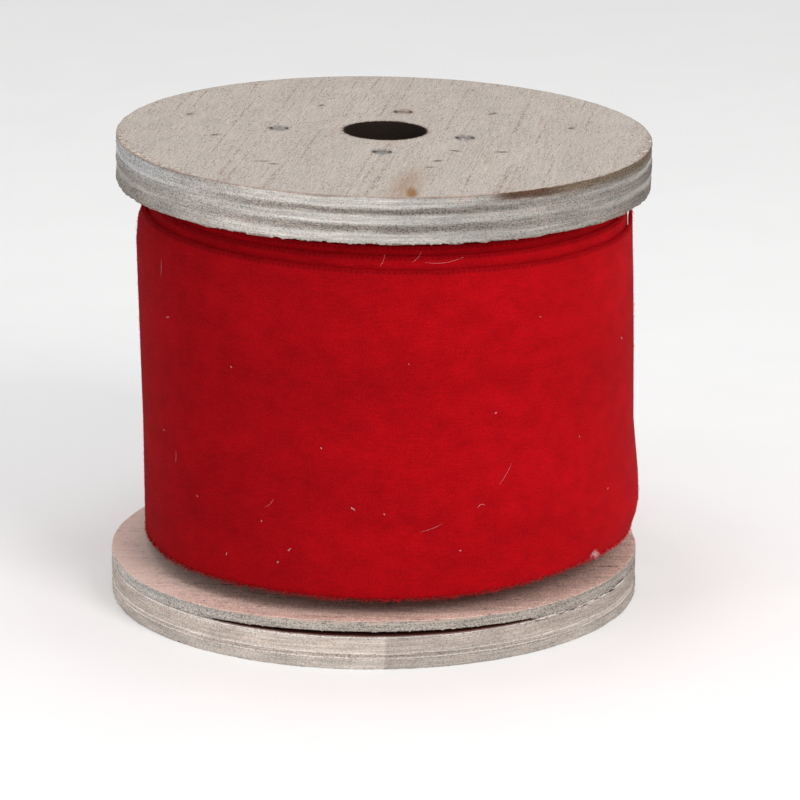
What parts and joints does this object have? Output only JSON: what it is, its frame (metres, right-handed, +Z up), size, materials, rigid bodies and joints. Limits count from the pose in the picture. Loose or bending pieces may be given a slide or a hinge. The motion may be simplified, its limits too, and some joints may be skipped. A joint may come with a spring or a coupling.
{
  "type": "ribbon spool",
  "caption": "Plywood spool with round flanges on a cardboard core, wound with wide red velvet ribbon for gift wrapping.",
  "frame": {"origin": "on the surface that the lower flange stands on, under the middle of the whole outline", "axes": "+Z up along the core tube, -Y towards the front, where the lower flange's ply has sprung open"},
  "size_m": [0.1686, 0.165, 0.1476],
  "materials": {
    "weathered_face": "matte, whitewashed and weathered",
    "pale_ply": "matte, sawn edge",
    "grey_ply": "matte, sawn end grain",
    "pink_ply": "matte, weathered",
    "hub_wood": "matte, bare",
    "core_cardboard": "matte",
    "paper_tape": "matte crepe paper",
    "red_velvet": "soft pile",
    "staple_steel": "dull galvanised"
  },
  "bodies": {
    "root": {"upper_flange_face_veneer": "weathered_face", "upper_flange_outer_ply": "pale_ply", "upper_flange_upper_crossband": "grey_ply", "upper_flange_core_ply": "pale_ply", "upper_flange_lower_crossband": "grey_ply", "upper_flange_inner_ply": "pale_ply", "upper_flange_inner_veneer": "pale_ply", "upper_hub_disc": "hub_wood", "upper_left_staple": "staple_steel", "upper_front_staple": "staple_steel", "upper_right_staple": "staple_steel", "upper_rear_staple": "staple_steel", "core_tube": "core_cardboard", "ribbon_start_tape": "paper_tape", "velvet_ribbon": "red_velvet", "lower_hub_disc": "hub_wood", "lower_flange_sprung_ply": "pink_ply", "lower_flange_upper_crossband": "pale_ply", "lower_flange_core_ply": "pale_ply", "lower_flange_lower_crossband": "pale_ply", "lower_flange_base_ply": "grey_ply", "lower_left_staple": "staple_steel", "lower_front_staple": "staple_steel", "lower_right_staple": "staple_steel", "lower_rear_staple": "staple_steel"}
  },
  "joints": []
}
